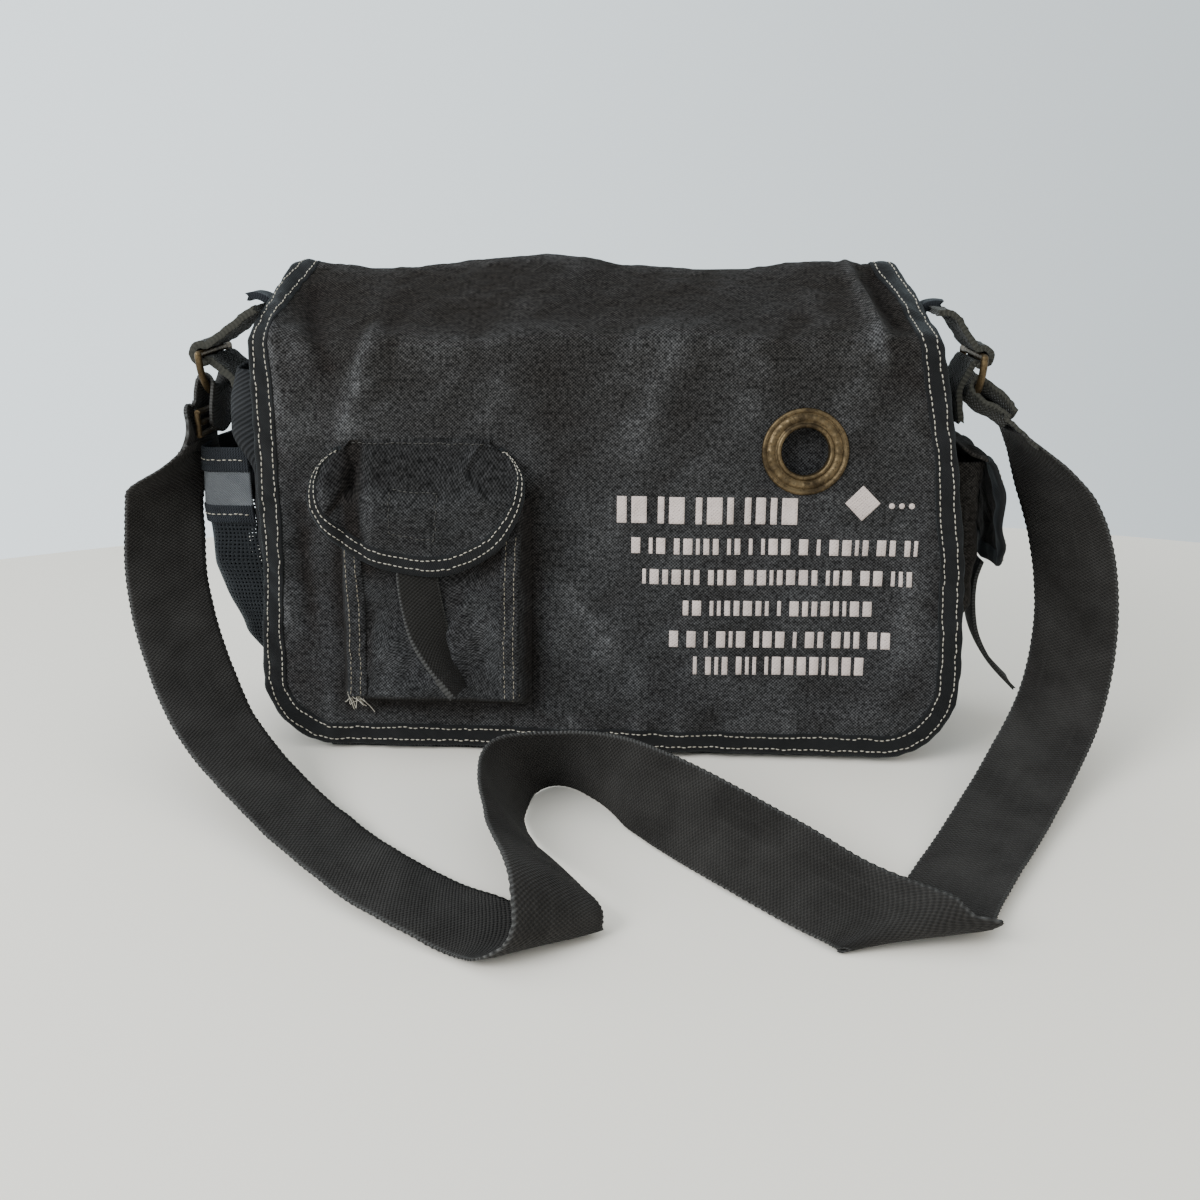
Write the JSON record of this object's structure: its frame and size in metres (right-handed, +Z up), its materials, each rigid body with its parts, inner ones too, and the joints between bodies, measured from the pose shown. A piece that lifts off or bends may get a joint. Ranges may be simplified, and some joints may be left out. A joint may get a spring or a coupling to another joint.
{
  "type": "messenger bag",
  "caption": "Soft canvas messenger bag with a full front flap, cargo pocket, eyelet, mesh side pocket, side pouch and a wide webbing shoulder strap.",
  "frame": {"origin": "centre of the base's flat face", "axes": "+X to the wearer-facing right, -Y towards the front flap, +Z up"},
  "size_m": [0.6166, 0.3483, 0.2973],
  "materials": {
    "canvas": "washed charcoal cotton canvas, matt",
    "twill": "washed dark grey twill, matt",
    "binding_tape": "black twill tape, matt",
    "webbing": "bumpy dark grey-brown cotton webbing",
    "mesh": "black knitted mesh",
    "grey_band": "grey canvas band",
    "lining": "plain dark lining cloth",
    "old_brass": "antique brass, worn",
    "zip_metal": "dull old brass"
  },
  "bodies": {
    "bag": {"front_panel": "canvas", "back_panel": "canvas", "base_panel": "canvas", "left_gusset": "twill", "right_gusset": "twill", "lining": "lining", "inner_pocket": "lining", "zip_tape_front": "binding_tape", "zip_tape_back": "binding_tape", "zip_teeth_front": "zip_metal", "zip_teeth_back": "zip_metal", "zip_slider": "zip_metal", "zip_end_left": "binding_tape", "zip_end_right": "binding_tape", "mesh_pocket_net": "mesh", "mesh_pocket_lower_tape": "binding_tape", "mesh_pocket_band": "grey_band", "mesh_pocket_top_tape": "binding_tape", "side_pouch": "canvas", "anchor_left": "webbing", "anchor_right": "webbing", "shoulder_strap": "webbing"},
    "flap": {"flap": "canvas", "flap_binding": "binding_tape", "grommet": "old_brass", "grommet_washer": "old_brass", "cargo_pocket": "canvas", "cargo_pocket_trim": "canvas", "cargo_loop_patch": "binding_tape"},
    "cargo_flap": {"cargo_flap": "canvas", "cargo_flap_binding": "binding_tape", "cargo_hook_patch": "binding_tape"},
    "cargo_tab": {"cargo_tab": "webbing"},
    "pouch_flap": {"pouch_flap": "canvas", "pouch_flap_binding": "binding_tape"},
    "pouch_tab": {"pouch_tab": "webbing"},
    "left_ring": {"d_ring_left": "old_brass", "strap_slider": "old_brass", "strap_tail_left": "webbing"},
    "right_ring": {"d_ring_right": "old_brass", "strap_connector_right": "webbing"},
    "zip_puller": {"zip_puller": "zip_metal"}
  },
  "joints": [
    {"name": "flap_open", "type": "hinge", "parent": "bag", "child": "flap", "pos_m": [0, 0.0555, 0.288], "axis": [-1, 0, 0], "range_deg": [0, 115]},
    {"name": "cargo_flap_open", "type": "hinge", "parent": "flap", "child": "cargo_flap", "pos_m": [-0.111, -0.0397, 0.19355], "axis": [-1, 0, 0], "range_deg": [0, 110]},
    {"name": "cargo_tab_swing", "type": "hinge", "parent": "cargo_flap", "child": "cargo_tab", "pos_m": [-0.111, -0.06759, 0.11673], "axis": [-1, 0, 0], "range_deg": [0, 60]},
    {"name": "pouch_flap_open", "type": "hinge", "parent": "bag", "child": "pouch_flap", "pos_m": [0.215, 0.012, 0.193], "axis": [0, -1, 0], "range_deg": [0, 15]},
    {"name": "pouch_tab_swing", "type": "hinge", "parent": "pouch_flap", "child": "pouch_tab", "pos_m": [0.24, 0.0175, 0.109], "axis": [0, -1, 0], "range_deg": [0, 20]},
    {"name": "left_ring_swing", "type": "hinge", "parent": "bag", "child": "left_ring", "pos_m": [-0.249, 0.005, 0.243], "axis": [0, 1, 0], "range_deg": [-6, 6]},
    {"name": "right_ring_swing", "type": "hinge", "parent": "bag", "child": "right_ring", "pos_m": [0.224, 0.005, 0.244], "axis": [0, 1, 0], "range_deg": [-6, 6]},
    {"name": "zip_puller_lift", "type": "hinge", "parent": "bag", "child": "zip_puller", "pos_m": [0.16275, 0.0129, 0.2625], "axis": [0, 0.8668, 0.4986], "range_deg": [0, 18]}
  ]
}
